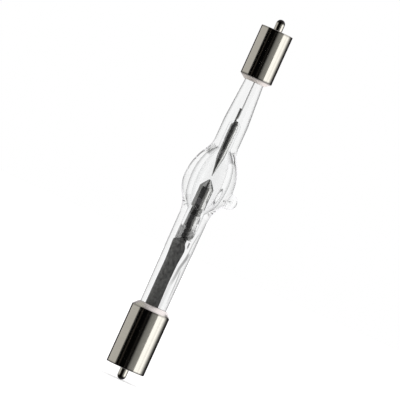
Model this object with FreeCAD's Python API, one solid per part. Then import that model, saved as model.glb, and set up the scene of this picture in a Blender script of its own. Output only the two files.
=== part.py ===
import FreeCAD, Part
import math
import os

from FreeCAD import Vector

# Short-arc lamp, upright, in millimetres. The origin is the centre of the anode base's outer end face,
# +Z runs along the lamp to the cathode base, and the sealed-off exhaust tip points along +X.

# Fits
seat_gap = 0.02  # between pieces that are seated, soldered or sealed in
cement_gap = 0.2  # between the quartz shaft and the bore of its base
solder_gap = 0.15  # between a lead and the socket in its pin

# Whole lamp
end_to_end = 81.7  # between the outer end faces of the two bases
arc_height = 45.95
arc_gap = 0.8

# Bases
pin_radius = 1.0
pin_length = 2.7
base_edge = 0.1
mouth_lip = 0.1
anode_base_radius = 4.5
anode_base_length = 13.9
anode_mouth_cone = 1.2
cathode_base_radius = 3.75
cathode_base_length = 11.5
cathode_mouth_cone = 0.95
base_floor = 1.6
socket_depth = 1.5  # below the outer end face, inside the pin

# Leads, from the pin to the foil
lead_depth = 1.2  # below the outer end face
lead_in_quartz = 6.5
anode_lead_radius = 0.5
cathode_lead_radius = 0.4

# Sealing foils
foil_thickness = 0.06
weld_length = 2.5  # foil laid on the flat of the lead
anode_foil_width = 2.15
anode_foil_top_width = 2.42
anode_foil_flare = 4.0
anode_foil_offset = -0.26
cathode_foil_width = 1.7
foil_corner = 0.7

# Anode: a drawn head on a rod
anode_head_radius = 1.62
anode_head_length = 4.8
anode_cone_height = 1.6
anode_tip_radius = 0.25
anode_head_edge = 0.15
head_bore_depth = 2.4
anode_rod_radius = 1.27
anode_rod_length = 7.0  # from the head's rear face to the shoulder
anode_tang_width = 1.6

# Cathode: one pointed rod
cathode_radius = 0.87
cathode_point_length = 4.6
cathode_tip_radius = 0.06
cathode_rod_length = 8.6  # from the root of the point to the shoulder
cathode_tang_width = 1.1

# Flattened tails of both rods
shoulder_length = 0.8
shoulder_step = 0.45
tang_thickness = 0.34
tang_length = 3.4

# Foil wraps, rolled on the rods where the quartz grips them
wrap_thickness = 0.05
wrap_bore_gap = 0.03
anode_wrap_length = 5.0
cathode_wrap_length = 4.4

# Quartz envelope
shaft_inset = 2.9  # from a base's outer end face to the end of the quartz
shaft_end_edge = 0.3
anode_shaft_radius = 3.1
anode_neck_radius = 3.27
cathode_shaft_radius = 2.17
cathode_neck_radius = 2.86
bulb_radius = 5.77
bulb_below_arc = 1.25
bulb_arc_to_anode = 8.0  # radius of the bulb's outline below its widest circle
bulb_arc_to_cathode = 13.5
anode_neck_blend = 3.0
cathode_neck_blend = 1.6
cavity_radius = 3.0
cavity_below_arc = 0.45
cavity_arc = 20.0
anode_funnel_radius = 2.5
anode_funnel_height = 2.8
cathode_funnel_radius = 2.2
cathode_funnel_height = 2.3

# Exhaust tip, drawn off and sealed
exhaust_below_arc = 2.95
exhaust_radius = 1.8
exhaust_stand = 1.85  # proud of the bulb's widest circle
exhaust_blend = 0.35
exhaust_channel_radius = 0.34
exhaust_channel_end_radius = 0.08
exhaust_channel_cover = 1.2  # quartz left over the end of the channel

# Heights that follow
anode_tip_height = arc_height - arc_gap / 2
anode_rear_height = anode_tip_height - anode_cone_height - anode_head_length
anode_shoulder_height = anode_rear_height - anode_rod_length
cathode_tip_height = arc_height + arc_gap / 2
cathode_shoulder_height = cathode_tip_height + cathode_point_length + cathode_rod_length
bulb_height = arc_height - bulb_below_arc
cavity_height = arc_height - cavity_below_arc
anode_bore_radius = anode_rod_radius + seat_gap + wrap_thickness + wrap_bore_gap
cathode_bore_radius = cathode_radius + seat_gap + wrap_thickness + wrap_bore_gap
foil_face = foil_thickness / 2 + seat_gap  # from the foil's middle to the flat that it lies on
lead_top = shaft_inset + lead_in_quartz
foil_start = lead_top - weld_length + seat_gap


def edge_chain(start, *steps):
    """Edges from start through the steps, each a (radius, height) point or a pair for an arc via the first."""
    edges = []
    here = Vector(start[0], 0, start[1])
    for step in steps:
        if isinstance(step[0], tuple):
            middle = Vector(step[0][0], 0, step[0][1])
            end = Vector(step[1][0], 0, step[1][1])
            edges.append(Part.Arc(here, middle, end).toShape())
            here = end
        else:
            end = Vector(step[0], 0, step[1])
            edges.append(Part.makeLine(here, end))
            here = end
    return edges


def turned(start, *steps):
    """Solid of revolution about Z of the closed profile that runs from start through the steps."""
    edges = edge_chain(start, *steps, start)
    face = Part.Face(Part.Wire(edges))
    return face.revolve(Vector(0, 0, 0), Vector(0, 0, 1), 360)


def drop_of_arc(radius, arc, end_radius):
    """How far along the axis an arc that is widest at radius runs until its radius is end_radius."""
    return math.sqrt(arc ** 2 - (arc - radius + end_radius) ** 2)


def neck(side, arc, neck_radius, blend):
    """Where a blend leaves a neck, its middle, and where it meets the bulb's arc; side is -1 or 1 along Z."""
    centre = bulb_radius - arc
    across = neck_radius + blend - centre
    along = math.sqrt((arc + blend) ** 2 - across ** 2)
    tilt = math.atan2(along, across)
    start = (neck_radius, bulb_height + side * along)
    middle = (neck_radius + blend * (1 - math.cos(tilt / 2)),
              bulb_height + side * (along - blend * math.sin(tilt / 2)))
    end = (centre + arc * math.cos(tilt), bulb_height + side * arc * math.sin(tilt))
    return start, middle, end


def on_bulb(side, arc, height):
    """Point of the bulb's outline at this distance from its widest circle."""
    return (bulb_radius - arc + math.sqrt(arc ** 2 - height ** 2), bulb_height + side * height)


def base_sleeve(radius, length, mouth_cone, shaft_radius, lead_radius):
    """Turned base with its pin, standing on its outer end face with the pin below it."""
    bore = shaft_radius + cement_gap
    socket = lead_radius + solder_gap
    dome = pin_radius * math.sqrt(0.5)
    return turned(
        (0, -pin_length),
        ((dome, pin_radius - pin_length - dome), (pin_radius, pin_radius - pin_length)),
        (pin_radius, 0),
        (radius - base_edge, 0),
        (radius, base_edge),
        (radius, length),
        (bore + mouth_lip, length + mouth_cone),
        (bore, length + mouth_cone),
        (bore, base_floor),
        (socket, base_floor),
        (socket, -socket_depth),
        (0, -socket_depth),
    )


def cement_fill(length, mouth_cone, shaft_radius, lead_radius):
    """Cement round the shaft and under its end, flush with the mouth of the sleeve."""
    top = length + mouth_cone
    outer = shaft_radius + cement_gap - seat_gap
    inner = shaft_radius + seat_gap
    hole = lead_radius + seat_gap
    return turned(
        (hole, base_floor + seat_gap),
        (outer, base_floor + seat_gap),
        (outer, top),
        (inner, top),
        (inner, shaft_inset - seat_gap),
        (hole, shaft_inset - seat_gap),
    )


def solder_fill(lead_radius):
    """Solder round the lead's end in the socket of the pin."""
    outer = lead_radius + solder_gap - seat_gap
    inner = lead_radius + seat_gap
    return turned(
        (0, seat_gap - socket_depth),
        (outer, seat_gap - socket_depth),
        (outer, base_floor),
        (inner, base_floor),
        (inner, -lead_depth - seat_gap),
        (0, -lead_depth - seat_gap),
    )


def lead_rod(radius, grow=0):
    """Round lead from the pin to the foil, its inner end ground flat on the foil's side, towards +Y."""
    rod = Part.makeCylinder(radius + grow, lead_depth + lead_top + grow, Vector(0, 0, -lead_depth))
    off = Part.makeBox(4 * radius, 2 * radius, weld_length + grow,
                       Vector(-2 * radius, foil_face - grow - 2 * radius, lead_top - weld_length + grow))
    return rod.cut(off)


def foil_strip(width, top_width, flare, offset, start, end, grow=0):
    """Flat foil in the XZ plane from start up to its round-cornered end, wider over its last stretch."""
    half = width / 2
    top_half = top_width / 2
    corner = min(foil_corner, top_half * 0.9)
    bend = corner * (1 - math.sqrt(0.5))
    outline = edge_chain(
        (offset - half, start),
        (offset + half, start),
        (offset + half, end - flare),
        (offset + top_half, end - corner),
        ((offset + top_half - bend, end - bend), (offset + top_half - corner, end)),
        (offset - top_half + corner, end),
        ((offset - top_half + bend, end - bend), (offset - top_half, end - corner)),
        (offset - half, end - flare),
        (offset - half, start),
    )
    face = Part.Face(Part.Wire(outline))
    if grow:
        face = face.makeOffset2D(grow)
    thick = foil_thickness + 2 * grow
    face.translate(Vector(0, -thick / 2, 0))
    return face.extrude(Vector(0, thick, 0))


def rod_tail(radius, shoulder, tang_width, grow=0):
    """Tapered shoulder and flattened tang below a rod, the tang behind the foil's plane, towards +Y."""
    small = radius - shoulder_step + grow
    tail_height = shoulder - shoulder_length
    cone = Part.makeCone(small, radius + grow, shoulder_length + grow, Vector(0, 0, tail_height - grow))
    tang = Part.makeBox(tang_width + 2 * grow, tang_thickness + 2 * grow,
                        tang_length + tang_thickness + 2 * grow,
                        Vector(-tang_width / 2 - grow, foil_face - grow, tail_height - tang_length - grow))
    return cone.fuse(tang)


def anode_head():
    """Drawn tungsten head with a blunt cone and a blind bore for its rod."""
    rear = anode_rear_height
    bore = anode_rod_radius + seat_gap
    return turned(
        (bore, rear),
        (anode_head_radius - anode_head_edge, rear),
        (anode_head_radius, rear + anode_head_edge),
        (anode_head_radius, rear + anode_head_length),
        (anode_tip_radius, anode_tip_height),
        (0, anode_tip_height),
        (0, rear + head_bore_depth),
        (bore, rear + head_bore_depth),
    )


def anode_rod():
    """Rod from inside the head to its flattened tail."""
    length = anode_rod_length + head_bore_depth - seat_gap
    rod = Part.makeCylinder(anode_rod_radius, length, Vector(0, 0, anode_shoulder_height))
    return rod.fuse(rod_tail(anode_rod_radius, anode_shoulder_height, anode_tang_width)).removeSplitter()


def cathode():
    """Pointed rod, turned upside down so that its tail can share the anode's form."""
    length = cathode_rod_length
    body = turned(
        (0, 0),
        (cathode_radius, 0),
        (cathode_radius, length),
        (cathode_tip_radius, length + cathode_point_length),
        (0, length + cathode_point_length),
    )
    return to_cathode_end(body.fuse(rod_tail(cathode_radius, 0, cathode_tang_width)).removeSplitter(),
                          cathode_shoulder_height)


def wrap(rod_radius, low, length):
    """Foil rolled on a rod, as one thin tube."""
    inner = rod_radius + seat_gap
    return turned((inner, low), (inner + wrap_thickness, low), (inner + wrap_thickness, low + length),
                  (inner, low + length))


def to_cathode_end(shape, height):
    """Turn a shape upside down, with its flat side towards -X, and stand it at this height."""
    placed = shape.copy()
    placed.rotate(Vector(0, 0, 0), Vector(0, 0, 1), 90)
    placed.rotate(Vector(0, 0, 0), Vector(1, 0, 0), 180)
    placed.translate(Vector(0, 0, height))
    return placed


def outer_quartz():
    """Outside of the envelope: two shafts blown out into one thick bulb."""
    anode_mouth = anode_base_length + anode_mouth_cone
    cathode_mouth = end_to_end - cathode_base_length - cathode_mouth_cone
    top = end_to_end - shaft_inset
    low_neck, low_middle, low_end = neck(-1, bulb_arc_to_anode, anode_neck_radius, anode_neck_blend)
    high_neck, high_middle, high_end = neck(1, bulb_arc_to_cathode, cathode_neck_radius, cathode_neck_blend)
    body = turned(
        (0, shaft_inset),
        (anode_shaft_radius - shaft_end_edge, shaft_inset),
        (anode_shaft_radius, shaft_inset + shaft_end_edge),
        (anode_shaft_radius, anode_mouth),
        low_neck,
        (low_middle, low_end),
        (on_bulb(-1, bulb_arc_to_anode, (bulb_height - low_end[1]) / 2), (bulb_radius, bulb_height)),
        (on_bulb(1, bulb_arc_to_cathode, (high_end[1] - bulb_height) / 2), high_end),
        (high_middle, high_neck),
        (cathode_neck_radius, cathode_shoulder_height),
        (cathode_shaft_radius, cathode_mouth),
        (cathode_shaft_radius, top - shaft_end_edge),
        (cathode_shaft_radius - shaft_end_edge, top),
        (0, top),
    )
    body.rotate(Vector(0, 0, 0), Vector(0, 0, 1), 180)
    return body


def exhaust_tip():
    """Round-ended stub where the exhaust tube was drawn off, along +X."""
    reach = bulb_radius + exhaust_stand
    slope = exhaust_radius * math.sqrt(0.5)
    stub = turned(
        (0, 0),
        (exhaust_radius, 0),
        (exhaust_radius, reach - exhaust_radius),
        ((slope, reach - exhaust_radius + slope), (0, reach)),
    )
    stub.rotate(Vector(0, 0, 0), Vector(0, 1, 0), 90)
    stub.translate(Vector(0, 0, arc_height - exhaust_below_arc))
    return stub


def exhaust_crease(body):
    """Edges of the crease where the stub grows out of the bulb."""
    found = []
    for edge in body.Edges:
        middle = edge.valueAt((edge.FirstParameter + edge.LastParameter) / 2)
        from_axis = math.hypot(middle.y, middle.z - arc_height + exhaust_below_arc)
        crosses = edge.BoundBox.XLength < exhaust_radius and middle.x < bulb_radius
        if abs(from_axis - exhaust_radius) < 0.01 and crosses:
            found.append(edge)
    return found


def cavity():
    """Gas space: barrel round the arc, a funnel at each end and the two rod bores."""
    low = cavity_height - drop_of_arc(cavity_radius, cavity_arc, anode_funnel_radius)
    high = cavity_height + drop_of_arc(cavity_radius, cavity_arc, cathode_funnel_radius)
    return turned(
        (0, anode_shoulder_height),
        (anode_bore_radius, anode_shoulder_height),
        (anode_bore_radius, low - anode_funnel_height),
        (anode_funnel_radius, low),
        ((cavity_radius, cavity_height), (cathode_funnel_radius, high)),
        (cathode_bore_radius, high + cathode_funnel_height),
        (cathode_bore_radius, cathode_shoulder_height),
        (0, cathode_shoulder_height),
    )


def exhaust_channel():
    """What is left of the exhaust tube's bore: a narrowing channel from the cavity into the stub."""
    length = bulb_radius + exhaust_stand - exhaust_channel_cover
    return Part.makeCone(exhaust_channel_radius, exhaust_channel_end_radius, length,
                         Vector(0, 0, arc_height - exhaust_below_arc), Vector(1, 0, 0))


def anode_foil(grow=0):
    """Foil between the anode's lead and its tang."""
    end = anode_shoulder_height - shoulder_length - seat_gap
    return foil_strip(anode_foil_width, anode_foil_top_width, anode_foil_flare, anode_foil_offset,
                      foil_start, end, grow)


def cathode_foil(grow=0):
    """Foil between the cathode's lead and its tang, turned a quarter from the anode's."""
    end = end_to_end - (cathode_shoulder_height + shoulder_length + seat_gap)
    strip = foil_strip(cathode_foil_width, cathode_foil_width, foil_corner * 2, 0, foil_start, end, grow)
    return to_cathode_end(strip, end_to_end)


def quartz_envelope():
    """The whole envelope, one piece, with its hollow and the seats of what is sealed into it."""
    body = outer_quartz().fuse(exhaust_tip())
    body = body.makeFillet(exhaust_blend, exhaust_crease(body))
    hollows = [
        cavity(),
        exhaust_channel(),
        rod_tail(anode_rod_radius, anode_shoulder_height, anode_tang_width, seat_gap),
        to_cathode_end(rod_tail(cathode_radius, 0, cathode_tang_width, seat_gap), cathode_shoulder_height),
        anode_foil(seat_gap),
        cathode_foil(seat_gap),
        lead_rod(anode_lead_radius, seat_gap),
        to_cathode_end(lead_rod(cathode_lead_radius, seat_gap), end_to_end),
    ]
    for hollow in hollows:
        body = body.cut(hollow)
    return body


def build():
    """Every sub-part, by its name."""
    anode_sleeve = (anode_base_length, anode_mouth_cone, anode_shaft_radius, anode_lead_radius)
    cathode_sleeve = (cathode_base_length, cathode_mouth_cone, cathode_shaft_radius, cathode_lead_radius)
    cathode_wrap_low = cathode_shoulder_height - cathode_wrap_length
    return {
        "quartz_envelope": quartz_envelope(),
        "anode_head": anode_head(),
        "anode_rod": anode_rod(),
        "anode_rod_wrap": wrap(anode_rod_radius, anode_shoulder_height + seat_gap, anode_wrap_length),
        "anode_foil": anode_foil(),
        "anode_lead": lead_rod(anode_lead_radius),
        "anode_solder": solder_fill(anode_lead_radius),
        "anode_cement": cement_fill(*anode_sleeve),
        "anode_base": base_sleeve(anode_base_radius, *anode_sleeve),
        "cathode": cathode(),
        "cathode_rod_wrap": wrap(cathode_radius, cathode_wrap_low - seat_gap, cathode_wrap_length),
        "cathode_foil": cathode_foil(),
        "cathode_lead": to_cathode_end(lead_rod(cathode_lead_radius), end_to_end),
        "cathode_solder": to_cathode_end(solder_fill(cathode_lead_radius), end_to_end),
        "cathode_cement": to_cathode_end(cement_fill(*cathode_sleeve), end_to_end),
        "cathode_base": to_cathode_end(base_sleeve(cathode_base_radius, *cathode_sleeve), end_to_end),
    }


os.makedirs("parts", exist_ok=True)
for name, shape in build().items():
    solid = shape.Solids[0] if len(shape.Solids) == 1 else shape
    solid.exportStep("parts/" + name + ".step")
    print(name, len(shape.Solids), "solid,", "valid" if solid.isValid() else "NOT VALID",
          round(solid.Volume, 3), "mm3")
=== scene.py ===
import math

import bmesh
import bpy
from mathutils import Matrix, Vector


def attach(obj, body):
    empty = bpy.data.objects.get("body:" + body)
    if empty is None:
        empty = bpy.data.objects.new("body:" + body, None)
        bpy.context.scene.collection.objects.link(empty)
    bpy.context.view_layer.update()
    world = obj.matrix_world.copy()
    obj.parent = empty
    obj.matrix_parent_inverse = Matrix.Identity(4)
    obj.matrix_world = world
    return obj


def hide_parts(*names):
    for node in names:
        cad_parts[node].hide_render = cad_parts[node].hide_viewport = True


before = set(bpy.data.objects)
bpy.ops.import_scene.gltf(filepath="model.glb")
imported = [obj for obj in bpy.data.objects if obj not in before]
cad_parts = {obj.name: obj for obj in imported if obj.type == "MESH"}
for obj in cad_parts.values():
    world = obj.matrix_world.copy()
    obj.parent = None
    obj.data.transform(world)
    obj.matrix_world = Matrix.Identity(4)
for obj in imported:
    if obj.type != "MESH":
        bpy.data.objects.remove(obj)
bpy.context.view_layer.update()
print("frame loaded, nodes:", len(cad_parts))

# Pieces are drawn in millimetres and scaled to metres when they are finished.
# Each turned piece starts as a half outline of (radius, height) in the XZ plane.

millimetre = 0.001
mergeDistance = 0.0005


def startOutline(radius, height):
    bm = bmesh.new()
    return bm, bm.verts.new((radius, 0, height))


def lineTo(bm, pen, radius, height, cuts=0):
    step = (Vector((radius, 0, height)) - pen.co) / (cuts + 1)
    for _ in range(cuts + 1):
        pen = bmesh.ops.extrude_vert_indiv(bm, verts=[pen])["verts"][0]
        bmesh.ops.translate(bm, verts=[pen], vec=step)
    return pen


def arcTo(bm, pen, centreRadius, centreHeight, degrees, steps):
    made = bmesh.ops.spin(bm, geom=[pen], cent=(centreRadius, 0, centreHeight), axis=(0, -1, 0),
                          angle=math.radians(degrees), steps=steps, use_merge=False)
    return made["geom_last"][0]


def turnOutline(bm, segments):
    bmesh.ops.spin(bm, geom=bm.verts[:] + bm.edges[:], cent=(0, 0, 0), axis=(0, 0, 1),
                   angle=2 * math.pi, steps=segments, use_merge=True)
    bmesh.ops.remove_doubles(bm, verts=bm.verts, dist=mergeDistance)
    bmesh.ops.recalc_face_normals(bm, faces=bm.faces)


def turnBy(bm, degrees, axis):
    turned = Matrix.Rotation(math.radians(degrees), 3, axis)
    bmesh.ops.rotate(bm, verts=bm.verts, cent=(0, 0, 0), matrix=turned)


def toCathodeEnd(bm, height):
    # turned a quarter and put upside down
    turnBy(bm, 90, "Z")
    turnBy(bm, 180, "X")
    bmesh.ops.translate(bm, verts=bm.verts, vec=(0, 0, height))


def finishPiece(bm, name, node, material, sharpAngle=None):
    bmesh.ops.scale(bm, verts=bm.verts, vec=(millimetre, millimetre, millimetre))
    mesh = bpy.data.meshes.new(name)
    bm.to_mesh(mesh)
    bm.free()
    piece = bpy.data.objects.new(name, mesh)
    bpy.context.scene.collection.objects.link(piece)
    mesh.shade_smooth()
    if sharpAngle:
        mesh.set_sharp_from_angle(angle=math.radians(sharpAngle))
    mesh.materials.append(material)
    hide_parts(node)
    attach(piece, "root")
    return piece


# Materials


def newMaterial(name):
    material = bpy.data.materials.new(name)
    material.use_nodes = True
    tree = material.node_tree
    coords = tree.nodes.new("ShaderNodeTexCoord")
    return material, tree, tree.nodes["Principled BSDF"], coords.outputs["Object"]


def addMapping(tree, source, scale):
    mapping = tree.nodes.new("ShaderNodeMapping")
    mapping.inputs["Scale"].default_value = scale
    tree.links.new(source, mapping.inputs["Vector"])
    return mapping.outputs["Vector"]


def addNoise(tree, vector, scale, detail=2.0, roughness=0.5):
    noise = tree.nodes.new("ShaderNodeTexNoise")
    noise.inputs["Scale"].default_value = scale
    noise.inputs["Detail"].default_value = detail
    noise.inputs["Roughness"].default_value = roughness
    tree.links.new(vector, noise.inputs["Vector"])
    return noise.outputs["Fac"]


def addRamp(tree, factor, stops):
    ramp = tree.nodes.new("ShaderNodeValToRGB")
    elements = ramp.color_ramp.elements
    while len(elements) < len(stops):
        elements.new(0.5)
    for element, (place, colour) in zip(elements, stops):
        element.position = place
        element.color = (*colour, 1)
    tree.links.new(factor, ramp.inputs["Fac"])
    return ramp.outputs["Color"]


def greyStops(*stops):
    return [(place, (shade, shade, shade)) for place, shade in stops]


def addRange(tree, factor, low, high, fromLow=0.3, fromHigh=0.7):
    spread = tree.nodes.new("ShaderNodeMapRange")
    spread.inputs["From Min"].default_value = fromLow
    spread.inputs["From Max"].default_value = fromHigh
    spread.inputs["To Min"].default_value = low
    spread.inputs["To Max"].default_value = high
    tree.links.new(factor, spread.inputs["Value"])
    return spread.outputs["Result"]


def addMaths(tree, operation, first, second=0):
    node = tree.nodes.new("ShaderNodeMath")
    node.operation = operation
    for socket, value in zip(node.inputs, (first, second)):
        if isinstance(value, (int, float)):
            socket.default_value = value
        else:
            tree.links.new(value, socket)
    return node.outputs[0]


def addAlong(tree, coords, axis, low, high):
    # 0 at the low place on the axis and 1 at the high one, both in millimetres
    split = tree.nodes.new("ShaderNodeSeparateXYZ")
    tree.links.new(coords, split.inputs[0])
    return addRange(tree, split.outputs[axis], 0, 1, low * millimetre, high * millimetre)


def addHeightShades(tree, coords, shades):
    # shades given as (height, shade), and blended evenly between those heights
    low, high = shades[0][0], shades[-1][0]
    stops = greyStops(*[((height - low) / (high - low), shade) for height, shade in shades])
    return addRamp(tree, addAlong(tree, coords, "Z", low, high), stops)


def addBump(tree, shader, height, strength, distance):
    bump = tree.nodes.new("ShaderNodeBump")
    bump.inputs["Strength"].default_value = strength
    bump.inputs["Distance"].default_value = distance
    tree.links.new(height, bump.inputs["Height"])
    tree.links.new(bump.outputs["Normal"], shader.inputs["Normal"])


def mixColours(tree, first, second, factor=1.0, blend="MIX"):
    node = tree.nodes.new("ShaderNodeMix")
    node.data_type = "RGBA"
    node.blend_type = blend
    if isinstance(factor, float):
        node.inputs["Factor"].default_value = factor
    else:
        tree.links.new(factor, node.inputs["Factor"])
    tree.links.new(first, node.inputs["A"])
    tree.links.new(second, node.inputs["B"])
    return node.outputs["Result"]


def multiplyColours(tree, first, second):
    return mixColours(tree, first, second, blend="MULTIPLY")


# Dark marks painted on the front of the anode shaft's quartz
# A path is given as (height, distance to the right) and a depth as (height, share), in millimetres.

streaks = {
    "besideFoil": {"path": [(20.6, 1.45), (23, 1.72), (25, 1.83), (27.5, 2.34), (29, 2.5)],
                   "width": (0.15, 0.42),
                   "depth": [(20.6, 0.15), (22.5, 0.42), (25, 0.54), (27.5, 0.6), (28.6, 0.4), (29, 0)]},
    "besideFoilRight": {"path": [(16, 2.47), (21, 2.47), (23, 2.4), (25.2, 2.25)],
                        "width": (0.05, 0.2),
                        "depth": [(16, 0), (20, 0.3), (24, 0.35), (25.2, 0)]},
    "aboveFoil": {"path": [(27.5, 2.3), (31, 2.35), (34, 2.75)],
                  "width": (0.04, 0.17),
                  "depth": [(27.5, 0), (28.5, 0.35), (33, 0.35), (34, 0)]},
    "besideWrap": {"path": [(29.5, 1.62), (33, 1.6), (37.3, 1.5)],
                   "width": (0.1, 0.22), "dots": 1500,
                   "depth": [(29.5, 0), (30, 0.75), (36.8, 0.65), (37.3, 0)]},
}
streakLook = {"reach": 4, "front": (-0.0006, -0.0001), "dotEdge": (0.42, 0.5)}


def addStreak(tree, coords, streak):
    # 1 beside the streak, less on it, and only on the side that lies towards -Y
    split = tree.nodes.new("ShaderNodeSeparateXYZ")
    tree.links.new(coords, split.inputs[0])
    reach = streakLook["reach"]
    path = addHeightShades(tree, coords, [(height, across / reach) for height, across in streak["path"]])
    across = addMaths(tree, "MULTIPLY", split.outputs["X"], 1 / (reach * millimetre))
    away = addMaths(tree, "ABSOLUTE", addMaths(tree, "SUBTRACT", across, path))
    taken = addRange(tree, away, 1, 0, *[width / reach for width in streak["width"]])
    taken = addMaths(tree, "MULTIPLY", taken, addHeightShades(tree, coords, streak["depth"]))
    taken = addMaths(tree, "MULTIPLY", taken, addRange(tree, split.outputs["Y"], 1, 0, *streakLook["front"]))
    if "dots" in streak:
        dots = addNoise(tree, coords, streak["dots"], detail=1)
        taken = addMaths(tree, "MULTIPLY", taken, addRange(tree, dots, 0, 1, *streakLook["dotEdge"]))
    return addMaths(tree, "SUBTRACT", 1, taken)


quartzLook = {
    "refraction": 1.458,
    "longestPath": 8.5,  # bounces after which a ray caught between the walls goes straight on
    "drawn": (1, 1, 0.12),
    "tintScale": 700, "tints": [(0.3, (0.955, 0.957, 0.958)), (0.7, (0.98, 0.982, 0.983))],
    "waveScale": 420, "waveStrength": 0.1, "waveDepth": 0.00005,
    "bulbStart": (35, 37.5), "bulbEnd": (53, 55), "topStart": (54, 60),
    "rightDarkeningAcross": (-3, 3), "rightDarkening": greyStops((0.5, 1), (0.58, 0.965), (1, 0.96)),
}
# painted shade of the skin by how much it is seen edge-on, for its dark outlines and the dark strokes at the
# funnels
outerEdges = {
    "shaft": greyStops((0.5, 1), (0.75, 0.72), (1, 0.6)),
    "bulb": greyStops((0.65, 1), (0.85, 0.92), (1, 0.85)),
    "top": greyStops((0.4, 1), (0.7, 0.55), (1, 0.35)),
}
innerEdges = {
    "shaft": greyStops((0.5, 1), (0.9, 0.6)),
    "bulb": greyStops((0.45, 1), (0.9, 0.45)),
    "funnels": greyStops((0.2, 1), (0.55, 0.3), (0.8, 0.25), (0.88, 1)),
}
funnelHeights = [(38, 0), (38.6, 0.4), (41.2, 0.4), (41.7, 0), (50.1, 0), (50.5, 1), (52.6, 1), (53, 0)]


def quartzMaterial(name, edges, fromInside):
    # the skin is shaded on one of its sides only, and more on the shafts than on the bulb
    look = quartzLook
    material, tree, unused, coords = newMaterial(name)
    tree.nodes.remove(unused)
    shader = tree.nodes.new("ShaderNodeBsdfGlass")
    shader.inputs["Roughness"].default_value = 0.0
    shader.inputs["IOR"].default_value = look["refraction"]
    path = tree.nodes.new("ShaderNodeLightPath")
    clear = tree.nodes.new("ShaderNodeBsdfTransparent")
    release = tree.nodes.new("ShaderNodeMixShader")
    caught = addMaths(tree, "GREATER_THAN", path.outputs["Ray Depth"], look["longestPath"])
    tree.links.new(caught, release.inputs["Fac"])
    tree.links.new(shader.outputs["BSDF"], release.inputs[1])
    tree.links.new(clear.outputs["BSDF"], release.inputs[2])
    tree.links.new(release.outputs[0], tree.nodes["Material Output"].inputs["Surface"])

    drawn = addMapping(tree, coords, look["drawn"])
    colour = addRamp(tree, addNoise(tree, drawn, look["tintScale"], detail=3), look["tints"])
    # painted shade where the skin is seen edge-on
    facing = tree.nodes.new("ShaderNodeLayerWeight").outputs["Facing"]
    nearBulb = addMaths(tree, "SUBTRACT", addAlong(tree, coords, "Z", *look["bulbStart"]),
                        addAlong(tree, coords, "Z", *look["bulbEnd"]))
    edge = mixColours(tree, addRamp(tree, facing, edges["shaft"]), addRamp(tree, facing, edges["bulb"]),
                      nearBulb)
    if "top" in edges:
        onTop = addAlong(tree, coords, "Z", *look["topStart"])
        edge = mixColours(tree, edge, addRamp(tree, facing, edges["top"]), onTop)
    if "funnels" in edges:
        onFunnel = addHeightShades(tree, coords, funnelHeights)
        edge = mixColours(tree, edge, addRamp(tree, facing, edges["funnels"]), onFunnel)
    colour = multiplyColours(tree, colour, edge)
    side = tree.nodes.new("ShaderNodeNewGeometry").outputs["Backfacing"]
    if not fromInside:
        # the shafts, not the bulb, are darker towards their right
        rightDarkening = addRamp(tree, addAlong(tree, coords, "X", *look["rightDarkeningAcross"]), look["rightDarkening"])
        colour = multiplyColours(tree, colour, addMaths(tree, "MAXIMUM", rightDarkening, nearBulb))
        for streak in streaks.values():
            colour = multiplyColours(tree, colour, addStreak(tree, coords, streak))
        side = addMaths(tree, "SUBTRACT", 1, side)
    plain = addRamp(tree, side, greyStops((0, 1), (1, 0)))
    tree.links.new(mixColours(tree, plain, colour, blend="LIGHTEN"), shader.inputs["Color"])
    waves = addNoise(tree, drawn, look["waveScale"], detail=1)
    addBump(tree, shader, waves, look["waveStrength"], look["waveDepth"])
    return material


metals = {
    "polishedNickel": {
        "colours": [(0.61, 0.585, 0.53), (0.67, 0.65, 0.595)], "roughness": (0.09, 0.15),
        "grain": (1, 1, 20), "grainScale": 500, "bump": (0.05, 0.00001),
        # painted shade on the pins' ends and in lines along the turned edges, and painted light on the
        # cathode's cone: (height, share of the colour)
        "shades": [(-3, 0.02), (-1.95, 0.02), (-1.6, 1), (-0.08, 1), (-0.03, 0.12), (0.1, 0.12), (0.2, 1),
                   (13.8, 1), (13.88, 0.15), (13.96, 1), (69, 1), (69.1, 1.3), (70.14, 1.3), (70.22, 0.15),
                   (70.3, 1), (81.5, 1), (81.6, 0.12), (81.73, 0.12), (81.78, 1), (83.3, 1), (83.65, 0.02),
                   (85, 0.02)],
        # the cones at the mouths are duller: (height, roughness added)
        "matt": [(13.8, 0), (13.9, 0.15), (15.2, 0.15), (15.3, 0), (69, 0), (69.2, 0.45), (70.2, 0.45),
                 (70.3, 0)]},
    "greyTungsten": {
        "colours": [(0.5, 0.5, 0.49), (0.58, 0.58, 0.57)], "roughness": (0.1, 0.17),
        "grain": (1, 1, 0.25), "grainScale": 2500, "bump": (0.05, 0.000004)},
    "darkTungsten": {
        "colours": [(0.12, 0.12, 0.12), (0.36, 0.36, 0.35)], "roughness": (0.2, 0.35),
        "grain": (1, 1, 0.5), "grainScale": 2500, "bump": (0.1, 0.00001)},
    "crumpledFoil": {
        "colours": [(0.35, 0.35, 0.35), (0.8, 0.8, 0.79)], "roughness": (0.12, 0.3),
        "grain": (1, 1, 0.6), "grainScale": 2600, "bump": (0.5, 0.00005),
        # painted shade: the wrap is darker low down, where it is sealed in the quartz: (height, share of the
        # colour)
        "shades": [(31, 0.45), (33.9, 0.6), (34.5, 1), (60, 1)]},
    "sealedFoil": {
        "colours": [(0.25, 0.25, 0.247), (0.58, 0.58, 0.57)], "roughness": (0.35, 0.5),
        "grain": (1, 1, 0.5), "grainScale": 2200, "bump": (0.5, 0.00004)},
    "drawnLead": {
        "colours": [(0.3, 0.3, 0.3), (0.42, 0.42, 0.41)], "roughness": (0.25, 0.4),
        "grain": (1, 1, 0.05), "grainScale": 4000, "bump": (0.1, 0.00001)},
    "greySolder": {
        "colours": [(0.4, 0.41, 0.42), (0.55, 0.56, 0.56)], "roughness": (0.3, 0.5),
        "grain": (1, 1, 1), "grainScale": 1500, "bump": (0.3, 0.00003)},
}
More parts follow.
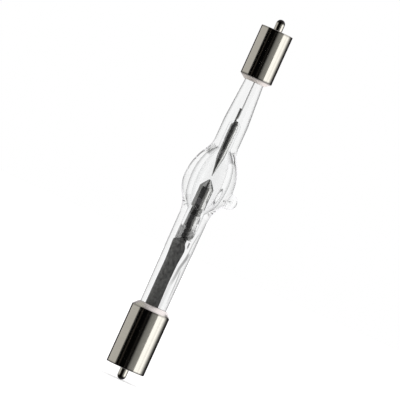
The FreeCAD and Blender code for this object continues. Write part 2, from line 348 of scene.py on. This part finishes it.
cement = {"colours": [(0.6, 0.59, 0.56), (0.72, 0.71, 0.68)], "scale": 2500, "roughness": 0.9,
          "bump": (0.4, 0.00005)}


def metalMaterial(name):
    look = metals[name]
    material, tree, shader, coords = newMaterial(name)
    shader.inputs["Metallic"].default_value = 1.0
    stretched = addMapping(tree, coords, look["grain"])
    mottle = addNoise(tree, stretched, look["grainScale"], detail=4, roughness=0.6)
    colour = addRamp(tree, mottle, list(zip((0.3, 0.7), look["colours"])))
    # painted shade by height, and on the nickel also painted light on the cathode's cone
    if "shades" in look:
        colour = multiplyColours(tree, colour, addHeightShades(tree, coords, look["shades"]))
    tree.links.new(colour, shader.inputs["Base Color"])
    rough = addRange(tree, mottle, *look["roughness"])
    if "matt" in look:
        rough = addMaths(tree, "ADD", rough, addHeightShades(tree, coords, look["matt"]))
    tree.links.new(rough, shader.inputs["Roughness"])
    addBump(tree, shader, mottle, *look["bump"])
    return material


def cementMaterial():
    material, tree, shader, coords = newMaterial("lampCement")
    mottle = addNoise(tree, coords, cement["scale"], detail=5)
    colour = addRamp(tree, mottle, list(zip((0.3, 0.7), cement["colours"])))
    tree.links.new(colour, shader.inputs["Base Color"])
    shader.inputs["Roughness"].default_value = cement["roughness"]
    addBump(tree, shader, mottle, *cement["bump"])
    return material


clearQuartz = quartzMaterial("clearQuartz", outerEdges, fromInside=False)
gasWall = quartzMaterial("quartzInnerWall", innerEdges, fromInside=True)
metal = {name: metalMaterial(name) for name in metals}
nodeFinishes = {"lead": metal["drawnLead"], "solder": metal["greySolder"], "cement": cementMaterial()}
for end in ("anode", "cathode"):
    for inner, finish in nodeFinishes.items():
        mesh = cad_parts[end + "_" + inner].data
        mesh.materials.clear()
        mesh.materials.append(finish)
print("materials made")

# Quartz envelope: shafts, bulb and the stub of the exhaust tube

quartz = {
    "segments": 256,
    "shaftBottom": 2.9, "shaftTop": 78.8, "endEdge": 0.3,
    "anodeShaft": 3.1, "anodeNeck": 3.27, "anodeMouth": 15.1,
    "cathodeShaft": 2.17, "cathodeNeck": 2.86, "taperStart": 59.55, "taperEnd": 69.25,
    "bulbRadius": 5.77, "bulbHeight": 44.7, "lowArc": 8.0, "highArc": 13.5,
    "lowBlend": 7.0, "highBlend": 5.0,
    "cavityRadius": 3.0, "cavityHeight": 45.5, "cavityLowArc": 20.0, "cavityHighArc": 15.4,
    "anodeFunnel": 2.5, "anodeFunnelHeight": 2.8, "cathodeFunnel": 2.1, "cathodeFunnelHeight": 2.4,
    "anodeBore": 1.37, "anodeBoreEnd": 34.1, "sealRun": 0.5, "sealInto": 0.09,
    "sealSlant": 0.4, "sealWaves": [(0.1, 3, 0.6), (0.08, 8, 0)],  # the waves' depth, count and turn
    "cathodeBore": 0.97, "cathodeBoreEnd": 58.9, "cathodeTail": 0.48, "cathodeTailEnd": 59.8,
    "stubHeight": 43.0, "stubRadius": 1.8, "stubReach": 7.62, "stubFillet": 0.5,
    "stubFrom": 2, "stubReachOut": 3.2, "ballShare": 0.62, "filletShare": 0.82,
    # what is left of the channel in the stub: its ends, and (radius, reach, cuts) between them
    "channelSegments": 24, "channelFrom": 3.25, "channelReach": 6.55,
    "channel": [(0.21, 3.35, 0), (0.105, 4.85, 4), (0.09, 5.65, 4), (0.225, 6.05, 2), (0.09, 6.45, 2)],
}


def neckAngle(side, arc, neckRadius, blend):
    centre = quartz["bulbRadius"] - arc
    across = neckRadius + blend - centre
    along = math.sqrt((arc + blend) ** 2 - across ** 2)
    return centre, math.degrees(math.atan2(along, across)), quartz["bulbHeight"] + side * along


def outerQuartz():
    q = quartz
    lowCentre, lowTilt, lowNeck = neckAngle(-1, q["lowArc"], q["anodeNeck"], q["lowBlend"])
    highCentre, highTilt, highNeck = neckAngle(1, q["highArc"], q["cathodeNeck"], q["highBlend"])
    bm, pen = startOutline(0, q["shaftBottom"])
    pen = lineTo(bm, pen, q["anodeShaft"] - q["endEdge"], q["shaftBottom"])
    pen = lineTo(bm, pen, q["anodeShaft"], q["shaftBottom"] + q["endEdge"])
    pen = lineTo(bm, pen, q["anodeShaft"], q["anodeMouth"])
    pen = lineTo(bm, pen, q["anodeNeck"], lowNeck, cuts=10)
    pen = arcTo(bm, pen, q["anodeNeck"] + q["lowBlend"], lowNeck, -lowTilt, steps=16)
    pen = arcTo(bm, pen, lowCentre, q["bulbHeight"], lowTilt, steps=38)
    pen = arcTo(bm, pen, highCentre, q["bulbHeight"], highTilt, steps=52)
    pen = arcTo(bm, pen, q["cathodeNeck"] + q["highBlend"], highNeck, -highTilt, steps=12)
    pen = lineTo(bm, pen, q["cathodeNeck"], q["taperStart"], cuts=3)
    pen = lineTo(bm, pen, q["cathodeShaft"], q["taperEnd"], cuts=5)
    pen = lineTo(bm, pen, q["cathodeShaft"], q["shaftTop"] - q["endEdge"])
    pen = lineTo(bm, pen, q["cathodeShaft"] - q["endEdge"], q["shaftTop"])
    lineTo(bm, pen, 0, q["shaftTop"])
    turnOutline(bm, q["segments"])
    return bm


def bulbRadiusAt(height):
    rise = height - quartz["bulbHeight"]
    arc = quartz["highArc"] if rise > 0 else quartz["lowArc"]
    return quartz["bulbRadius"] - arc + math.sqrt(arc ** 2 - rise ** 2)


def drawOutStub(bm):
    # the bulb's skin round the stub is spread over a half ball, a hollow fillet and what is left of the skin
    q = quartz
    centreX = q["stubReach"] - q["stubRadius"]
    rootRadius = q["stubRadius"] + q["stubFillet"]
    ball, fillet = q["ballShare"], q["filletShare"]
    for vert in bm.verts:
        across, rise = vert.co.y, vert.co.z - q["stubHeight"]
        away = math.hypot(across, rise)
        if vert.co.x < q["stubFrom"] or away >= q["stubReachOut"]:
            continue
        share = away / q["stubReachOut"]
        unit = (across / away, rise / away) if away > 1e-6 else (0.0, 0.0)
        if share < ball:
            turn = share / ball * math.pi / 2
            radius, x = q["stubRadius"] * math.sin(turn), centreX + q["stubRadius"] * math.cos(turn)
        else:
            turn = min((share - ball) / (fillet - ball), 1) * math.pi / 2
            rest = max((share - fillet) / (1 - fillet), 0)
            radius = q["stubRadius"] + q["stubFillet"] * (1 - math.cos(turn))
            radius += (q["stubReachOut"] - rootRadius) * rest
            skinRadius = max(radius, rootRadius)
            height = q["stubHeight"] + skinRadius * unit[1]
            skin = math.sqrt(bulbRadiusAt(height) ** 2 - (skinRadius * unit[0]) ** 2)
            x = centreX + (skin - centreX) * math.sin(turn)
        vert.co = (x, radius * unit[0], q["stubHeight"] + radius * unit[1])


def gasSpace():
    q = quartz
    lowArc, highArc = q["cavityLowArc"], q["cavityHighArc"]
    low = math.degrees(math.acos(1 - (q["cavityRadius"] - q["anodeFunnel"]) / lowArc))
    high = math.degrees(math.acos(1 - (q["cavityRadius"] - q["cathodeFunnel"]) / highArc))
    lowHeight = q["cavityHeight"] - lowArc * math.sin(math.radians(low))
    highHeight = q["cavityHeight"] + highArc * math.sin(math.radians(high))
    bm, pen = startOutline(0, q["anodeBoreEnd"] - q["sealRun"])
    pen = lineTo(bm, pen, q["anodeBore"] - q["sealInto"], q["anodeBoreEnd"] - q["sealRun"])
    pen = lineTo(bm, pen, q["anodeBore"], q["anodeBoreEnd"], cuts=3)
    pen = lineTo(bm, pen, q["anodeBore"], lowHeight - q["anodeFunnelHeight"], cuts=3)
    pen = lineTo(bm, pen, q["anodeFunnel"], lowHeight, cuts=7)
    pen = arcTo(bm, pen, q["cavityRadius"] - lowArc, q["cavityHeight"], low, steps=28)
    pen = arcTo(bm, pen, q["cavityRadius"] - highArc, q["cavityHeight"], high, steps=32)
    pen = lineTo(bm, pen, q["cathodeBore"], highHeight + q["cathodeFunnelHeight"], cuts=7)
    pen = lineTo(bm, pen, q["cathodeBore"], q["cathodeBoreEnd"], cuts=3)
    pen = lineTo(bm, pen, q["cathodeTail"], q["cathodeTailEnd"], cuts=3)
    lineTo(bm, pen, 0, q["cathodeTailEnd"])
    turnOutline(bm, q["segments"])
    for vert in bm.verts:
        if vert.co.z <= q["anodeBoreEnd"] and vert.co.xy.length > q["anodeBore"] * 0.5:
            turn = math.atan2(vert.co.y, vert.co.x)
            vert.co.z -= q["sealSlant"] * math.cos(turn)
            vert.co.z += sum(deep * math.sin(count * turn + start) for deep, count, start in q["sealWaves"])
    bmesh.ops.reverse_faces(bm, faces=bm.faces)
    return bm


def exhaustChannel():
    q = quartz
    bm, pen = startOutline(0, q["channelFrom"])
    for radius, reach, cuts in q["channel"]:
        pen = lineTo(bm, pen, radius, reach, cuts)
    lineTo(bm, pen, 0, q["channelReach"])
    turnOutline(bm, q["channelSegments"])
    bmesh.ops.smooth_vert(bm, verts=bm.verts, factor=0.5, use_axis_x=True, use_axis_y=True, use_axis_z=True)
    bmesh.ops.reverse_faces(bm, faces=bm.faces)
    turnBy(bm, 90, "Y")
    bmesh.ops.translate(bm, verts=bm.verts, vec=(0, 0, q["stubHeight"]))
    return bm


def addShell(bm, shell):
    spare = bpy.data.meshes.new("shell")
    shell.to_mesh(spare)
    shell.free()
    bm.from_mesh(spare)
    bpy.data.meshes.remove(spare)


envelope = outerQuartz()
drawOutStub(envelope)
gas = gasSpace()
for face in gas.faces:
    face.material_index = 1
addShell(envelope, gas)
addShell(envelope, exhaustChannel())
quartzPiece = finishPiece(envelope, "quartzBulbAndShafts", "quartz_envelope", clearQuartz,
                          sharpAngle=40)
quartzPiece.data.materials.append(gasWall)
print("quartz blown")

# Bases: turned sleeves with a conical mouth and a round pin

bases = {
    "segments": 160,
    "pinRadius": 1.0, "pinLength": 2.7, "pinFillet": 0.12, "floor": 1.6, "socket": -1.5,
    "edge": 0.1, "lip": 0.1, "soft": 0.04, "softShare": 0.4, "ring": 0.3,
    "cementGap": 0.2, "solderGap": 0.15,
    "anode": {"radius": 4.5, "length": 13.9, "cone": 1.2, "shaft": quartz["anodeShaft"], "lead": 0.5},
    "cathode": {"radius": 3.75, "length": 11.5, "cone": 0.95, "shaft": quartz["cathodeShaft"], "lead": 0.4},
    "endToEnd": 81.7,
}


def baseSleeve(size):
    b = bases
    bore = size["shaft"] + b["cementGap"]
    socket = size["lead"] + b["solderGap"]
    top = size["length"] + size["cone"]
    soft = b["soft"]
    half = soft * b["softShare"]
    bm, pen = startOutline(0, -b["pinLength"])
    pen = arcTo(bm, pen, 0, b["pinRadius"] - b["pinLength"], 90, steps=14)
    pen = lineTo(bm, pen, b["pinRadius"], -b["pinFillet"])
    pen = arcTo(bm, pen, b["pinRadius"] + b["pinFillet"], -b["pinFillet"], -90, steps=4)
    pen = lineTo(bm, pen, size["radius"] - b["edge"], 0)
    pen = arcTo(bm, pen, size["radius"] - b["edge"], b["edge"], 90, steps=5)
    wall = [(size["radius"], b["ring"]), (size["radius"], size["length"] - b["ring"]),
            (size["radius"], size["length"] - soft)]  # its rings keep the shading flat
    mouth = [(size["radius"] - half, size["length"] + half), (bore + b["lip"] + soft, top - soft),
             (bore + b["lip"] - half, top), (bore + soft, top), (bore, top - soft)]
    inside = [(bore, b["floor"]), (socket, b["floor"]), (socket, b["socket"]), (0, b["socket"])]
    for radius, height in wall + mouth + inside:
        pen = lineTo(bm, pen, radius, height)
    turnOutline(bm, b["segments"])
    return bm


nickel = metal["polishedNickel"]
anodeSleeve = baseSleeve(bases["anode"])
finishPiece(anodeSleeve, "anodeBaseSleeve", "anode_base", nickel, sharpAngle=30)
cathodeSleeve = baseSleeve(bases["cathode"])
toCathodeEnd(cathodeSleeve, bases["endToEnd"])
finishPiece(cathodeSleeve, "cathodeBaseSleeve", "cathode_base", nickel, sharpAngle=30)
print("bases turned")

# Anode head, with a blunt cone

head = {"segments": 128, "radius": 1.62, "rear": 39.15, "length": 4.8, "tipHeight": 45.55, "tipRadius": 0.25,
        "tipFlat": 0.15, "edge": 0.15, "bore": 1.29, "boreDepth": 2.4, "soft": 0.03, "softRise": 0.02}


def anodeHead():
    h = head
    bm, pen = startOutline(0, h["rear"] + h["boreDepth"])
    pen = lineTo(bm, pen, h["bore"], h["rear"] + h["boreDepth"])
    pen = lineTo(bm, pen, h["bore"], h["rear"])
    pen = lineTo(bm, pen, h["radius"] - h["edge"], h["rear"])
    pen = arcTo(bm, pen, h["radius"] - h["edge"], h["rear"] + h["edge"], 90, steps=4)
    pen = lineTo(bm, pen, h["radius"], h["rear"] + h["length"] - h["soft"], cuts=8)
    pen = lineTo(bm, pen, h["radius"] - h["softRise"], h["rear"] + h["length"] + h["softRise"])
    pen = lineTo(bm, pen, h["tipRadius"], h["tipHeight"] - h["soft"], cuts=6)
    pen = lineTo(bm, pen, h["tipFlat"], h["tipHeight"])
    lineTo(bm, pen, 0, h["tipHeight"])
    turnOutline(bm, h["segments"])
    return bm


finishPiece(anodeHead(), "anodeTungstenHead", "anode_head", metal["greyTungsten"], sharpAngle=25)

# Rods: the anode's plain one and the pointed cathode, both with a flattened tail

rods = {
    "segments": 96, "shoulderLength": 0.8, "shoulderStep": 0.45,
    "tangThickness": 0.34, "tangEdge": 0.1, "foilFace": 0.05,
    "anode": {"radius": 1.27, "shoulder": 32.15, "top": 41.53, "tangWidth": 1.1, "tangLength": 3.4},
    "cathode": {"radius": 0.87, "shoulder": 58.95, "rod": 8.0, "point": 4.6, "tip": 0.06, "tipFlat": 0.05,
                "soft": 0.15, "softShare": 0.98, "tangWidth": 1.1, "tangLength": 3.05},
}


def tang(width, low, high):
    r = rods
    bm = bmesh.new()
    bmesh.ops.create_cube(bm, size=1)
    bmesh.ops.scale(bm, verts=bm.verts, vec=(width, r["tangThickness"], high - low))
    bmesh.ops.translate(bm, verts=bm.verts,
                        vec=(0, r["foilFace"] + r["tangThickness"] / 2, (low + high) / 2))
    bmesh.ops.bevel(bm, geom=bm.edges, offset=r["tangEdge"], offset_type="OFFSET", affect="EDGES", segments=3,
                    profile=0.5, material=-1, clamp_overlap=True)
    return bm


def startRod(size, shoulder):
    # the tapered shoulder, up to the rod's full radius
    tail = shoulder - rods["shoulderLength"]
    bm, pen = startOutline(0, tail)
    pen = lineTo(bm, pen, size["radius"] - rods["shoulderStep"], tail)
    return bm, lineTo(bm, pen, size["radius"], shoulder, cuts=3)


def endRod(bm, size, shoulder):
    tail = shoulder - rods["shoulderLength"]
    turnOutline(bm, rods["segments"])
    addShell(bm, tang(size["tangWidth"], tail - size["tangLength"], tail + rods["tangThickness"]))
    return bm


def anodeRod():
    a = rods["anode"]
    bm, pen = startRod(a, a["shoulder"])
    pen = lineTo(bm, pen, a["radius"], a["top"], cuts=10)
    lineTo(bm, pen, 0, a["top"])
    return endRod(bm, a, a["shoulder"])


def cathodeRod():
    c = rods["cathode"]
    bm, pen = startRod(c, 0)
    pen = lineTo(bm, pen, c["radius"], c["rod"] - c["soft"], cuts=10)
    pen = lineTo(bm, pen, c["radius"] * c["softShare"], c["rod"] + c["soft"])
    pen = lineTo(bm, pen, c["tip"], c["rod"] + c["point"] - c["tipFlat"], cuts=12)
    lineTo(bm, pen, 0, c["rod"] + c["point"])
    endRod(bm, c, 0)
    toCathodeEnd(bm, c["shoulder"])
    return bm


finishPiece(anodeRod(), "anodeTungstenRod", "anode_rod", metal["darkTungsten"], sharpAngle=30)
finishPiece(cathodeRod(), "cathodeTungstenRod", "cathode", metal["greyTungsten"], sharpAngle=25)
print("electrodes made")

# Foil wraps on the rods

wraps = {
    "segments": 96, "thickness": 0.05, "slantReach": 1.2, "slantWave": 0.1, "slantWaves": 9,
    "anode": {"radius": 1.34, "low": 31.8, "length": 5.37, "slant": 0.95},
    "cathode": {"radius": 0.94, "low": 55.13, "length": 3.8, "slant": 0.0},
}


def foilWrap(size):
    w = wraps
    inner, high = size["radius"] - w["thickness"], size["low"] + size["length"]
    bm, start = startOutline(inner, size["low"])
    pen = lineTo(bm, start, size["radius"], size["low"])
    pen = lineTo(bm, pen, size["radius"], high, cuts=40)
    pen = lineTo(bm, pen, inner, high)
    bm.edges.new((pen, start))
    turnOutline(bm, w["segments"])
    for vert in bm.verts:
        share = max(1 - (vert.co.z - size["low"]) / w["slantReach"], 0)  # the lower end is cut at a slant
        turn = math.atan2(vert.co.y, vert.co.x)
        wave = w["slantWave"] * math.sin(w["slantWaves"] * turn)
        vert.co.z += size["slant"] * share * (math.cos(turn) + wave)
    return bm


for end in ("anode", "cathode"):
    finishPiece(foilWrap(wraps[end]), end + "FoilWrap", end + "_rod_wrap",
                metal["crumpledFoil"], sharpAngle=30)

# Sealing foils, between the leads and the rods

foils = {
    "thickness": 0.06, "columns": 24, "rows": 200, "rowSpread": 1.5, "ripple": 0.004, "cathodeTwist": 4.5,
    # (height, left edge, right edge)
    "anode": [(6.92, -1.335, 0.815), (16.0, -1.335, 0.77), (21.3, -1.34, 0.68), (25.7, -1.31, 0.74),
              (27.3, -1.36, 0.85), (28.8, -1.43, 0.93), (29.5, -1.47, 0.86), (30.35, -1.51, 0.58),
              (30.7, -1.45, 0.42), (31.05, -1.1, 0.27), (31.45, -0.45, -0.1)],
    "cathode": [(6.92, -0.85, 0.85), (20.6, -0.85, 0.85), (21.33, -0.4, 0.4)],
    # folds: (left x, left height, right x, right height, depth, width)
    "folds": [(-1.3, 30.1, -0.5, 30.15, 0.055, 0.13), (-0.9, 31.2, 0.2, 31.0, 0.04, 0.12),
              (0.15, 30.0, 0.62, 28.6, 0.045, 0.11), (0.62, 28.6, 0.5, 27.0, 0.035, 0.1),
              (-1.2, 29.0, -1.0, 27.6, 0.03, 0.1), (-0.4, 28.8, -0.2, 27.4, 0.03, 0.1)],
}


def edgesAt(outline, height):
    for (lowHeight, lowLeft, lowRight), (highHeight, highLeft, highRight) in zip(outline, outline[1:]):
        if height <= highHeight:
            break
    share = (height - lowHeight) / (highHeight - lowHeight)
    return lowLeft + share * (highLeft - lowLeft), lowRight + share * (highRight - lowRight)


def foldDepth(fold, x, height):
    leftX, leftHeight, rightX, rightHeight, depth, width = fold
    along = Vector((rightX - leftX, rightHeight - leftHeight))
    reach = Vector((x - leftX, height - leftHeight))
    share = min(max(reach.dot(along) / along.length_squared, 0), 1)
    away = (reach - share * along).length
    return depth * math.exp(-(away / width) ** 2)


def sealingFoil(outline, folds=()):
    bm = bmesh.new()
    bmesh.ops.create_grid(bm, x_segments=foils["columns"], y_segments=foils["rows"], size=0.5)
    low, high = outline[0][0], outline[-1][0]
    for vert in bm.verts:
        height = low + (high - low) * (1 - (0.5 - vert.co.y) ** foils["rowSpread"])  # finer rows near the rod
        left, right = edgesAt(outline, height)
        x = left + (right - left) * (vert.co.x + 0.5)
        depth = sum(foldDepth(fold, x, height) for fold in folds)
        depth += foils["ripple"] * (1 + math.sin(3.1 * height + 2 * x) * math.cos(5.3 * x + 0.7 * height))
        vert.co = (x, -depth - foils["thickness"] / 2, height)
    bmesh.ops.recalc_face_normals(bm, faces=bm.faces)
    bmesh.ops.solidify(bm, geom=bm.verts[:] + bm.edges[:] + bm.faces[:], thickness=foils["thickness"])
    bmesh.ops.recalc_face_normals(bm, faces=bm.faces)
    return bm


foilMetal = metal["sealedFoil"]
finishPiece(sealingFoil(foils["anode"], foils["folds"]), "anodeSealingFoil", "anode_foil",
            foilMetal, sharpAngle=40)
cathodeStrip = sealingFoil(foils["cathode"])
turnBy(cathodeStrip, foils["cathodeTwist"], "Z")
toCathodeEnd(cathodeStrip, bases["endToEnd"])
finishPiece(cathodeStrip, "cathodeSealingFoil", "cathode_foil", foilMetal, sharpAngle=40)
print("foils made")

# Floor, studio and camera

studio = {
    "panelDistance": 0.6, "panelMiddle": 0.05,
    # upright panels round the lamp, with shades as (distance across, shade) and the places that reflect them
    "panels": {
        "softboxRight": {"turn": 96.3, "halfAngle": 45.7, "colour": (1.0, 1.0, 0.99), "strength": 1.6,
                         "height": 0.9, "seenFrom": ("outside", "inGas"),
                         "shades": [(-0.55, 1), (-0.19, 1), (-0.15, 0.87), (-0.06, 0.87), (-0.02, 1),
                                    (0.03, 1), (0.107, 0.77), (0.2, 0.44), (0.32, 0.12), (0.49, 0.03),
                                    (0.68, 0)]},
        "greyCardFront": {"turn": 29.3, "halfAngle": 21.3, "colour": (0.98, 0.98, 0.95), "strength": 0.36,
                          "height": 1.4, "seenFrom": ("outside", "inGas", "inQuartz"),
                          "shades": [(-0.638, 0.02), (-0.626, 0.15), (-0.595, 0.45), (-0.565, 0.73),
                                     (-0.535, 0.79), (-0.504, 0.83), (-0.473, 0.95), (-0.408, 1)]},
        "fillLeft": {"turn": -98.25, "halfAngle": 40.25, "colour": (1.0, 0.98, 0.94), "strength": 0.62,
                     "height": 2.0, "seenFrom": ("outside",),
                     "shades": [(-0.39, 0), (-0.285, 0.12), (-0.245, 1), (0.59, 1)]},
        "fillLeftInside": {"turn": -100, "halfAngle": 38, "colour": (1.0, 1.0, 0.98), "strength": 0.4,
                           "height": 1.0, "seenFrom": ("inGas",),
                           "shades": [(-0.4, 0.5), (-0.2, 1), (0.6, 1)]},
        "slitLeft": {"turn": -43, "halfAngle": 3.5, "colour": (1.0, 0.87, 0.75), "strength": 0.034,
                     "height": 1.4, "seenFrom": ("outside",), "shades": [(-0.7, 1), (0.7, 1)]},
        "slitFront": {"turn": -5, "halfAngle": 5, "colour": (1.0, 0.92, 0.85), "strength": 0.014,
                      "height": 1.4, "seenFrom": ("outside",), "shades": [(-0.7, 1), (0.7, 1)]},
    },
}


def reflectedFrom(tree, path):
    # rays that left a surface outside, one in the gas or one held in the quartz
    # on its way to the gas and back a ray crosses four skins
    bounced = addMaths(tree, "GREATER_THAN", path.outputs["Glossy Depth"], 0.5)
    walls = path.outputs["Transmission Depth"]
    outside = addMaths(tree, "MULTIPLY", bounced, addMaths(tree, "LESS_THAN", walls, 0.5))
    inGas = addMaths(tree, "MULTIPLY", bounced, addMaths(tree, "GREATER_THAN", walls, 3.5))
    inQuartz = addMaths(tree, "SUBTRACT", bounced, addMaths(tree, "MAXIMUM", outside, inGas))
    return outside, inGas, inQuartz


def panelMaterial(name, colour, strength, shades, seenFrom):
    material = bpy.data.materials.new(name)
    material.use_nodes = True
    tree = material.node_tree
    tree.nodes.clear()
    path = tree.nodes.new("ShaderNodeLightPath")
    clear = tree.nodes.new("ShaderNodeBsdfTransparent")
    glow = tree.nodes.new("ShaderNodeEmission")
    glow.inputs["Strength"].default_value = strength
    mix = tree.nodes.new("ShaderNodeMixShader")
    out = tree.nodes.new("ShaderNodeOutputMaterial")
    coords = tree.nodes.new("ShaderNodeTexCoord")
    split = tree.nodes.new("ShaderNodeSeparateXYZ")
    tree.links.new(coords.outputs["Object"], split.inputs[0])
    low, high = shades[0][0], shades[-1][0]
    stops = [((place - low) / (high - low), [c * shade for c in colour]) for place, shade in shades]
    across = addRange(tree, split.outputs["Y"], 0, 1, low, high)
    tree.links.new(addRamp(tree, across, stops), glow.inputs["Color"])
    places = dict(zip(("outside", "inGas", "inQuartz"), reflectedFrom(tree, path)))
    seen = places[seenFrom[0]]
    for place in seenFrom[1:]:
        seen = addMaths(tree, "MAXIMUM", seen, places[place])
    tree.links.new(seen, mix.inputs["Fac"])
    tree.links.new(clear.outputs[0], mix.inputs[1])
    tree.links.new(glow.outputs[0], mix.inputs[2])
    tree.links.new(mix.outputs[0], out.inputs["Surface"])
    material.cycles.emission_sampling = "NONE"
    return material


def addPanel(name, turn, halfAngle, colour, strength, height, shades, seenFrom):
    distance = studio["panelDistance"]
    width = 2 * distance * math.tan(math.radians(halfAngle))
    bm = bmesh.new()
    bmesh.ops.create_grid(bm, x_segments=1, y_segments=1, size=0.5)
    bmesh.ops.scale(bm, verts=bm.verts, vec=(width, height, 1))
    turnBy(bm, 90, "X")
    bmesh.ops.translate(bm, verts=bm.verts, vec=(0, -distance, studio["panelMiddle"]))
    turnBy(bm, turn, "Z")
    mesh = bpy.data.meshes.new(name)
    bm.to_mesh(mesh)
    bm.free()
    panel = bpy.data.objects.new(name, mesh)
    mesh.materials.append(panelMaterial(name, colour, strength, shades, seenFrom))
    bpy.context.scene.collection.objects.link(panel)
    panel.visible_camera = False
    panel.visible_diffuse = False
    panel.visible_shadow = False


for panelName, panelLook in studio["panels"].items():
    addPanel(panelName, **panelLook)

floorLook = {"height": -0.0027, "size": 6.0, "grainScale": 40, "greys": greyStops((0.3, 0.86), (0.7, 0.9)),
             "roughness": 0.9, "specular": 0.1, "lift": 0.35}


def floorMaterial():
    material, tree, shader, coords = newMaterial("paleFloor")
    grain = addNoise(tree, coords, floorLook["grainScale"])
    tree.links.new(addRamp(tree, grain, floorLook["greys"]), shader.inputs["Base Color"])
    shader.inputs["Roughness"].default_value = floorLook["roughness"]
    shader.inputs["Specular IOR Level"].default_value = floorLook["specular"]
    # lifted to white where the camera sees it, but not where it lights the lamp
    seen = tree.nodes.new("ShaderNodeLightPath").outputs["Is Camera Ray"]
    shader.inputs["Emission Color"].default_value = (1, 1, 1, 1)
    tree.links.new(addMaths(tree, "MULTIPLY", seen, floorLook["lift"]), shader.inputs["Emission Strength"])
    return material


floorBuild = bmesh.new()
bmesh.ops.create_grid(floorBuild, x_segments=1, y_segments=1, size=floorLook["size"] / 2)
bmesh.ops.translate(floorBuild, verts=floorBuild.verts, vec=(0, 0, floorLook["height"]))
floorMesh = bpy.data.meshes.new("floor")
floorBuild.to_mesh(floorMesh)
floorBuild.free()
floorMesh.materials.append(floorMaterial())
floor = bpy.data.objects.new("floor", floorMesh)
bpy.context.scene.collection.objects.link(floor)
floor.visible_glossy = False
floor.visible_transmission = False

sky = {
    "darkness": 0.003, "above": (1.1, 1.05, 1.13),
    # what surfaces outside reflect: dark below a slope that goes by Y from -1 to 1, apart from straight behind
    "flatLimit": greyStops((0.28, 0.8), (0.32, 0.38), (0.9, 0.38), (0.93, 0.1)), "behind": (0.95, 0.975),
    "rise": (-0.58, 0.35), "riseAcross": (-0.55, 0.5),  # dimmer on the left and brighter on the right
    # what those in the gas reflect: a dark band, and above it a sky darkened by X from -0.5 to 0.5
    "gasSlope": 0.6, "gasDark": 0.95,
    "overHead": greyStops((0, 0.4), (0.08, 0.61), (0.18, 0.89), (0.34, 0.96), (0.54, 0.94), (0.73, 0.81),
                          (0.87, 0.61), (0.92, 0.48), (1, 0)),
    "sealFront": -0.62, "sealDark": 0.92,  # what those in the quartz reflect from in front
}


def studioWorld():
    world = bpy.data.worlds.new("studio")
    world.use_nodes = True
    world.cycles.sampling_method = "NONE"
    tree = world.node_tree
    background = tree.nodes["Background"]
    coords = tree.nodes.new("ShaderNodeTexCoord")
    split = tree.nodes.new("ShaderNodeSeparateXYZ")
    tree.links.new(coords.outputs["Generated"], split.inputs[0])
    across, back, up = split.outputs
    outside, inGas, inQuartz = reflectedFrom(tree, tree.nodes.new("ShaderNodeLightPath"))
    slope = addMaths(tree, "ABSOLUTE", up)

    flatLimit = addRamp(tree, addRange(tree, back, 0, 1, -1, 1), sky["flatLimit"])
    flat = addMaths(tree, "MULTIPLY", outside, addMaths(tree, "LESS_THAN", slope, flatLimit))
    darkOutside = addMaths(tree, "MULTIPLY", flat, addRange(tree, back, 1, 0, *sky["behind"]))
    band = addMaths(tree, "MULTIPLY", addMaths(tree, "LESS_THAN", slope, sky["gasSlope"]), sky["gasDark"])
    overHead = addRamp(tree, addRange(tree, across, 0, 1, -0.5, 0.5), sky["overHead"])
    darkInGas = addMaths(tree, "MULTIPLY", inGas, addMaths(tree, "MAXIMUM", band, overHead))
    inFront = addMaths(tree, "MULTIPLY", inQuartz, addMaths(tree, "LESS_THAN", back, sky["sealFront"]))
    darkInQuartz = addMaths(tree, "MULTIPLY", inFront, sky["sealDark"])
    dark = addMaths(tree, "MAXIMUM", darkOutside, addMaths(tree, "MAXIMUM", darkInGas, darkInQuartz))

    lit = tree.nodes.new("ShaderNodeMix")
    lit.data_type = "RGBA"
    lit.inputs["A"].default_value = (1, 1, 1, 1)
    lit.inputs["B"].default_value = (*sky["above"], 1)
    tree.links.new(outside, lit.inputs["Factor"])
    blend = tree.nodes.new("ShaderNodeMix")
    blend.data_type = "RGBA"
    tree.links.new(lit.outputs["Result"], blend.inputs["A"])
    blend.inputs["B"].default_value = (sky["darkness"], sky["darkness"], sky["darkness"], 1)
    tree.links.new(dark, blend.inputs["Factor"])
    tree.links.new(blend.outputs["Result"], background.inputs["Color"])
    rise = addRange(tree, across, *sky["rise"], *sky["riseAcross"])
    tree.links.new(addMaths(tree, "ADD", 1, addMaths(tree, "MULTIPLY", outside, rise)),
                   background.inputs["Strength"])
    return world


bpy.context.scene.world = studioWorld()

cameraSetup = {"roll": 24.34, "distance": 1.2, "lens": 489.0, "sensor": 36, "clip": (0.01, 20),
               "right": -0.00062, "up": -0.00084, "height": 0.0417}

roll = math.radians(cameraSetup["roll"])
rightWay = Vector((math.cos(roll), 0, math.sin(roll)))
upWay = Vector((-math.sin(roll), 0, math.cos(roll)))
backWay = Vector((0, -1, 0))
camera = bpy.data.objects.new("camera", bpy.data.cameras.new("camera"))
bpy.context.scene.collection.objects.link(camera)
camera.data.lens = cameraSetup["lens"]
camera.data.sensor_width = cameraSetup["sensor"]
camera.data.clip_start = cameraSetup["clip"][0]
camera.data.clip_end = cameraSetup["clip"][1]
place = Vector((0, 0, cameraSetup["height"])) + rightWay * cameraSetup["right"] + upWay * cameraSetup["up"]
place += backWay * cameraSetup["distance"]
turned = Matrix((rightWay, upWay, backWay)).transposed().to_4x4()
camera.matrix_world = Matrix.Translation(place) @ turned
bpy.context.scene.camera = camera

bpy.context.scene.view_settings.view_transform = "Standard"

# light that is totally reflected in the thick quartz ends black with fewer bounces
bounces = 64
cycles = bpy.context.scene.cycles
cycles.max_bounces = bounces
cycles.transmission_bounces = bounces
cycles.glossy_bounces = bounces

print("stage set")
